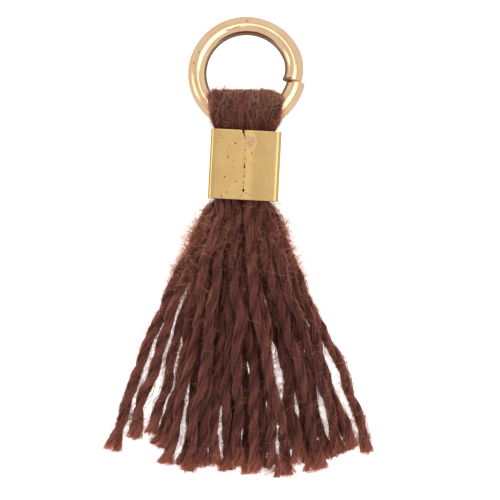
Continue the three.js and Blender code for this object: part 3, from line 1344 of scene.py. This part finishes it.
    def fold_lines(self) -> list[YarnLine]:
        """The yarns folded over the ring's wire, from the front of the band to its back.

        Returns:
            One line a fold.
        """
        rng = self.rng
        lines = []
        for x, up, out in self.outer_folds:
            foot = self.fold_foot + (x - 0.1) * self.outer_gather
            top = self.fold_top + up
            front = ((foot, 2.0, 3.5), (foot, 2.9, 3.62), (x * 0.96, 3.9, 3.95 + out), (x, 4.8, 4.0 + out))
            crown = ((x, top - 0.35, 3.55), (x + rng.uniform(-0.15, 0.15), top, 2.6), (x, top - 0.35, 1.4))
            back = ((x, 4.7, 0.75), (x * 0.9, 3.7, 0.8), (foot, 2.6, 1.0), (foot, 2.0, 1.0))
            lines.append(self.fold_line(front + crown + back, rng.uniform(0.92, 1.04)))
        for x in self.inner_folds:
            foot = self.fold_foot + x * self.inner_gather
            front = ((foot, 2.0, 2.9), (foot, 2.9, 3.05), (x, 3.9, 3.65), (x, 4.7, 3.45), (x, 5.35, 2.3))
            back = ((x, 4.7, 1.2), (x, 3.9, 1.0), (foot, 2.9, 1.5), (foot, 2.0, 1.6))
            lines.append(self.fold_line(front + back, self.inner_width))
        return lines

    def fold_line(self, points: Sequence[tuple[float, float, float]], width: float) -> YarnLine:
        """One fold.

        Args:
            points: Points along the fold.
            width: The yarn's width against a strand's.

        Returns:
            The line.
        """
        rng = self.rng
        line = YarnLine(
            np.array(points),
            self.step,
            (-1, 0, 0),
            rng.uniform(0, TURN),
            self.fold_pitch * rng.uniform(0.8, 1.3),
            rng.uniform(0.36, 0.6),
        )
        line.loosen(rng, 0.05)
        squeeze = np.clip((3.7 - line.middle[:, 1]) / 0.8, 0, 1)
        line.width = width * (1 - (1 - self.squeezed) * squeeze)
        return line

    def matted_fibres(self, name: str) -> bpy.types.Object:
        """Fibres that cross over each other all round the outside of the folds.

        Args:
            name: The piece's name.

        Returns:
            The piece.
        """
        rng = self.rng
        joined = JoinedTubes(name)
        count = self.matted
        share = np.linspace(-0.5, 0.5, 9)[None, :]
        points = np.array([(0, y, z) for y, z in self.over_fold])
        guide = YarnLine(points, self.step, (-1, 0, 0), 0.0, 1.0, 0.5)
        reach = rng.uniform(0.6, 2.4, count)[:, None]
        angle = rng.normal(0.5 * math.pi, 0.75, count)[:, None]
        curve = rng.normal(0, 0.45, count)[:, None] * share**2
        along = rng.beta(2.2, 2.4, count)[:, None] * 0.8 * guide.length + reach * share * np.sin(angle)
        along = np.clip(along + curve * np.cos(angle), 0, guide.length)
        x = rng.uniform(-2.85, 3.1, count)[:, None] + reach * share * np.cos(angle) - curve * np.sin(angle)
        lift = rng.uniform(0.2, 0.46, count)[:, None] + 0.08 * np.sin(
            rng.uniform(4, 9, count)[:, None] * share + rng.uniform(0, TURN, count)[:, None]
        )
        edge = np.clip((np.abs(x - 0.1) - 1.7) / 1.5, 0, 1)
        middle = guide.sample(guide.middle, along)
        narrow = 0.1 + (x - 0.1) * (1 - 0.16 * np.clip((4.2 - middle[..., 1]), 0, 1))
        lift = lift - 0.5 * edge**2
        # The guide's own frame turns about X, so its across direction points into the fold.
        points = middle - lift[..., None] * guide.sample(guide.across, along)
        points[..., 0] = np.clip(narrow, -3.1, 3.4)
        radius = rng.uniform(*self.matted_radius, count)[:, None] * (1 - 1.6 * np.abs(share) ** 2)
        # The fibres over the top of the fold are given a lighter tone.
        lighter_on_top = 0.5 * np.clip(points[..., 1].mean(axis=1) - 4.7, 0, 1)
        joined.add_lines(points, radius, 1.2 * rng.beta(1.2, 2.4, count) + lighter_on_top, rng)
        return joined.build()

    def nearness(self, y: np.ndarray) -> np.ndarray:
        """How near heights are to where the fuzz is thickest, 1 being there."""
        return np.exp(-(((y - self.fuzzy_y) / self.fuzzy_reach) ** 2))

    def places_along(self, line: YarnLine, count: int, thickest: float) -> np.ndarray:
        """Random places along a yarn, denser where the fuzz is thickest.

        Args:
            line: The yarn.
            count: How many places.
            thickest: How much denser they are there.

        Returns:
            The distances along the yarn.
        """
        weight = 1 + thickest * self.nearness(line.middle[:, 1])
        total = np.concatenate(([0.0], np.cumsum(weight)[:-1]))
        return np.interp(self.rng.uniform(0, total[-1], count), total, line.along)

    def surface_fibres(
        self, lines: Sequence[YarnLine], per_mm: float, arch: float, name: str
    ) -> bpy.types.Object:
        """Fibres that lie along the plies and lift a little at their ends, or arch off them.

        Args:
            lines: The yarns.
            per_mm: How many begin in each millimetre of yarn.
            arch: How far the highest of them stands off the ply.
            name: The piece's name.

        Returns:
            The piece.
        """
        rng = self.rng
        joined = JoinedTubes(name)
        share = np.linspace(0, 1, 7)[None, :]
        for line in lines:
            count = int(line.length * per_mm)
            begin = self.places_along(line, count, 1.0 if arch else 0.2)[:, None] - 0.6
            reach = rng.uniform(1.0, 3.0, count)[:, None]
            along = np.clip(begin + reach * share, 0, line.length)
            ply = np.broadcast_to(rng.integers(0, 2, count)[:, None], along.shape)
            # The fibres lie along the yarn, so they turn back round the ply as it winds.
            back = rng.uniform(0.5, 1.1, count)[:, None] * TURN / line.pitch
            around = rng.uniform(-self.round_ply, self.round_ply, count)[:, None]
            around = around - back * (along - begin - 0.5 * reach)
            ends = (2 * share - 1) ** 4
            lift = rng.uniform(-0.005, 0.03, count)[:, None] + ends * rng.uniform(0.0, 0.12, count)[:, None]
            lift = lift + 0.02 * np.sin(9 * share + rng.uniform(0, TURN, count)[:, None])
            if arch:
                lift = lift + arch * rng.uniform(0.15, 1, count)[:, None] ** 1.5 * np.sin(math.pi * share)
            points, _ = self.plying.on_ply(line, along, ply, around, lift)
            radius = rng.uniform(*self.fibre_radius, count)[:, None] * (1 - 0.6 * ends)
            tone = line.tone + rng.normal(0, 0.3, count)
            joined.add_lines(points, radius, tone, rng)
        return joined.build()

    def room(self, root: np.ndarray, normal: np.ndarray, lines: Sequence[YarnLine]) -> np.ndarray:
        """How much room there is off each place on the yarn.

        Args:
            root: The places.
            normal: The directions off the yarn there.
            lines: All the yarns of the same part of the hank.

        Returns:
            The distance from a point off each place to the nearest yarn's middle.
        """
        probe = root + self.probe * normal
        gap = np.full(len(root), np.inf)
        for line in lines:
            middle = line.middle[::2] * (1, 1, 1 if normal[:, 2].any() else 0)
            for begin in range(0, len(root), 4000):
                block = slice(begin, begin + 4000)
                apart = np.linalg.norm(probe[block, None] - middle[None], axis=2)
                gap[block] = np.minimum(gap[block], apart.min(axis=1))
        return gap

    def fuzz(self, lines: Sequence[YarnLine], fuzz: Fuzz, name: str) -> bpy.types.Object:
        """Hairs that stand off the outside of the bundle and curl, thickest a little below the band.

        Args:
            lines: The yarns.
            fuzz: How many hairs and how long.
            name: The piece's name.

        Returns:
            The piece.
        """
        rng = self.rng
        roots, normals, tangents = [], [], []
        for line in lines:
            count = int(line.length * fuzz.per_mm)
            along = self.places_along(line, count, fuzz.thickest)
            ply = rng.integers(0, 2, count)
            around = rng.uniform(-self.round_ply, self.round_ply, count)
            root, normal = self.plying.on_ply(line, along, ply, around, np.full(count, -0.03))
            keep = np.abs(root[:, 1]) > 3.2
            roots.append(root[keep])
            normals.append(normal[keep])
            tangents.append(line.sample(line.tangent, along[keep]))
        root, normal, tangent = (np.concatenate(rows) for rows in (roots, normals, tangents))
        free = (self.room(root, normal, lines) > self.clear) & (root[:, 2] + self.probe * normal[:, 2] > 0)
        root, normal, tangent = root[free], normal[free], tangent[free]
        # Most hairs grow where they show against the surface, beside the yarns or over the fold.
        flat = (1, 1, 0)
        beside = self.room(root * flat, unit(normal * flat), lines) > self.clear
        beside &= np.linalg.norm(normal * flat, axis=1) > 0.5
        keep = beside | (rng.uniform(0, 1, len(root)) < fuzz.on_top)
        root, normal, tangent = root[keep], normal[keep], tangent[keep]
        count = len(root)
        lean = rng.normal(0, fuzz.lean, (count, 1))
        heading = unit(normal + lean * tangent + rng.normal(0, 0.35, root.shape))
        near = 1 + 0.4 * fuzz.thickest * self.nearness(root[:, 1])
        length = rng.uniform(fuzz.shortest, fuzz.longest, count) * rng.uniform(0.4, 1, count) * near
        joined = JoinedTubes(name)
        joined.add_lines(*self.curl(root, heading, length, fuzz.steps), rng)
        return joined.build()

    def curl(
        self, root: np.ndarray, heading: np.ndarray, length: np.ndarray, steps: int
    ) -> tuple[np.ndarray, np.ndarray, np.ndarray]:
        """Lets hairs grow from their roots with a steady curl.

        Args:
            root: Where each begins.
            heading: Where each sets out.
            length: How long each is.
            steps: Points along each.

        Returns:
            Points, radii and tones.
        """
        rng = self.rng
        count = len(root)
        turn = rng.normal(0, 0.55, (count, 3)) * (4 / steps)
        points = [root]
        for _ in range(steps - 1):
            heading = unit(heading + turn + rng.normal(0, 0.2, (count, 3)))
            points.append(points[-1] + heading * (length / (steps - 1))[:, None])
        lines = np.stack(points, axis=1)
        radius = rng.uniform(*self.hair_radius, count)[:, None] * np.linspace(1, 0.5, steps)[None, :]
        tone = rng.uniform(0.1, 1, count)
        return lines, radius, tone

    def frayed_ends(self, lines: Sequence[YarnLine], name: str) -> bpy.types.Object:
        """The tufts of fibre at the cut ends.

        Args:
            lines: The strands.
            name: The piece's name.

        Returns:
            The piece.
        """
        rng = self.rng
        joined = JoinedTubes(name)
        count = self.tuft
        share = np.linspace(0, 1, 5)[None, :]
        for line in lines:
            end = line.length
            radial = np.sqrt(rng.uniform(0, 1, count))[:, None]
            angle = rng.uniform(0, TURN, count)[:, None]
            start = end - rng.uniform(0.6, 1.7, count)[:, None]
            stop = end + rng.normal(0.2, 0.1, count)[:, None] - 0.32 * radial**3
            along = start + (stop - start) * share
            inside = np.minimum(along, end)
            middle = line.sample(line.middle, inside) + (along - inside)[..., None] * line.tangent[-1]
            twist = angle + TURN * (inside - end) / line.pitch
            full = 0.44 * line.sample(line.width, inside) + 0.3 * (line.spread[-1] - 1) * share
            wide = full * (0.86 + 0.24 * share) * radial
            offset = np.cos(twist)[..., None] * line.across[-1] + np.sin(twist)[..., None] * line.outward[-1]
            points = middle + wide[..., None] * offset
            points += rng.normal(0, 0.018, points.shape)
            radius = rng.uniform(*self.tuft_radius, count)[:, None] * np.linspace(1, 0.7, 5)[None, :]
            tone = np.clip(rng.normal(0.85, 0.25, count), 0, 1.4)
            joined.add_lines(points, radius, tone, rng)
        return joined.build()

    def build(self) -> dict[str, bpy.types.Object]:
        """Makes every piece of the yarn.

        Returns:
            The pieces by name.
        """
        strands = self.strand_lines()
        folds = self.fold_lines()
        half = len(strands) // 2
        groups = {
            "yarn_strands_under": strands[:half],
            "yarn_strands_over": strands[half:],
            "yarn_fold": folds,
        }
        pieces = {}
        for name, lines in groups.items():
            joined = JoinedTubes(name)
            for line in lines:
                joined.add(*self.plying.tubes(line))
            pieces[name] = joined.build()
        for name, lines, per_mm, arch in (
            ("fibres_under", strands[:half], 2.5, 0.0),
            ("fibres_over", strands[half:], 4.5, 0.0),
            ("fibres_fold", folds, 6.0, 0.0),
            ("halo_under", strands[:half], 5.0, 0.34),
            ("halo_over", strands[half:], 4.0, 0.3),
            ("halo_fold", folds, 7.0, 0.34),
        ):
            pieces[name] = self.surface_fibres(lines, per_mm, arch, name)
        for name, lines, fuzz in (
            ("fuzz_strands", strands, Fuzz(160, 0.3, 1.15, 3, thickest=2.6, on_top=0.03)),
            ("fuzz_fold", folds, Fuzz(90, 0.25, 1.4, 4, on_top=0.25)),
            ("stray_fibres", strands, Fuzz(9.0, 1.0, 3.0, 8, thickest=1.6, on_top=0.14)),
        ):
            pieces[name] = self.fuzz(lines, fuzz, name)
        pieces["matted_fibres"] = self.matted_fibres("matted_fibres")
        pieces["frayed_ends"] = self.frayed_ends(strands, "frayed_ends")
        return pieces

    def dress(self, pieces: dict[str, bpy.types.Object]) -> None:
        """Dyes the yarn and its loose fibres.

        Args:
            pieces: The pieces by name.
        """
        core = YARN_CORE.material()
        loose = {
            "fibres": YARN_FIBRE.material(),
            "halo": YARN_DOWN.material(),
            "frayed": YARN_TUFT.material(),
            "matted": YARN_PALE.material(),
        }
        fuzz = YARN_FUZZ.material()
        for name, piece in pieces.items():
            kind = name.split("_")[0]
            if kind == "yarn":
                finish_piece(piece, core, "yarn_tassel")
            else:
                finish_piece(piece, loose.get(kind, fuzz), None)


@dataclass
class Studio:
    """The white table, the soft light round it and the camera straight above."""

    view_x: float = 0.452
    view_y: float = -7.21
    view_width: float = 42.66
    view_height: float = 2.0
    distance: float = 380.0
    sensor: float = 36.0
    table_size: float = 700.0
    table_gap: float = 0.02
    ceiling: float = 0.74
    walls: float = 0.84

    def build(self) -> None:
        """Sets up the table, the light and the camera."""
        self.build_table()
        self.build_world()
        self.build_lights()
        self.build_camera()

    def build_table(self) -> None:
        """Lays the table under the charm."""
        made = bmesh.new()
        bmesh.ops.create_grid(made, x_segments=2, y_segments=2, size=self.table_size / 2)
        bmesh.ops.translate(made, verts=made.verts, vec=(self.view_x, self.view_y, -self.table_gap))
        table = object_of(made, "white_table")
        table.data.materials.append(WhiteTable("white_table").material())

    def build_world(self) -> None:
        """White all round and greyer overhead, as in a light tent with an opening for the camera."""
        world = bpy.data.worlds.new("light_tent")
        bpy.context.scene.world = world
        world.use_nodes = True
        recipe = Recipe(world.node_tree)
        direction = recipe.node("ShaderNodeTexCoord", output="Generated")
        up = recipe.node("ShaderNodeSeparateXYZ", None, {0: direction}, "Z")
        overhead = recipe.ramped(up, 0.1, 0.9)
        level = self.walls + (self.ceiling - self.walls) * overhead
        shader = recipe.node(
            "ShaderNodeBackground", None, {"Color": (1.0, 0.99, 0.97, 1.0), "Strength": level}
        )
        recipe.finish(shader, "ShaderNodeOutputWorld")

    def build_lights(self) -> None:
        """Hangs soft round lights beside the charm and above the ring."""
        for name, place, size, glow in (
            ("softbox_right", (132, 35, 376), 262, 1.3),
            ("softbox_left", (-353, 20, 188), 200, 1.1),
            ("softbox_top", (25, 150, 400), 110, 1.5),
        ):
            light = bpy.data.lights.new(name, "AREA")
            light.shape = "DISK"
            light.size = size * MM
            light.energy = glow * math.pi * math.pi * (light.size / 2) ** 2
            lamp = placed(name, light)
            lamp.location = Vector(place) * MM
            lamp.rotation_euler = (-lamp.location).to_track_quat("-Z", "Y").to_euler()

    def build_camera(self) -> None:
        """Puts the camera straight above the charm."""
        camera = bpy.data.cameras.new("camera")
        camera.sensor_width = self.sensor
        camera.lens = self.sensor * (self.distance - self.view_height) / self.view_width
        camera.clip_start = 0.01
        camera.clip_end = 10
        holder = placed("camera", camera)
        holder.location = Vector((self.view_x, self.view_y, self.distance)) * MM
        bpy.context.scene.camera = holder
        bpy.context.scene.view_settings.view_transform = "Standard"


def main() -> None:
    """Builds and dresses the charm, then the studio round it."""
    logging.basicConfig(level=logging.INFO, format="%(message)s")
    ring = JumpRing()
    ring.dress(ring.build())
    band = CrimpBand()
    band.dress(band.build())
    tassel = YarnTassel()
    tassel.dress(tassel.build())
    Studio().build()


if __name__ == "__main__":
    main()
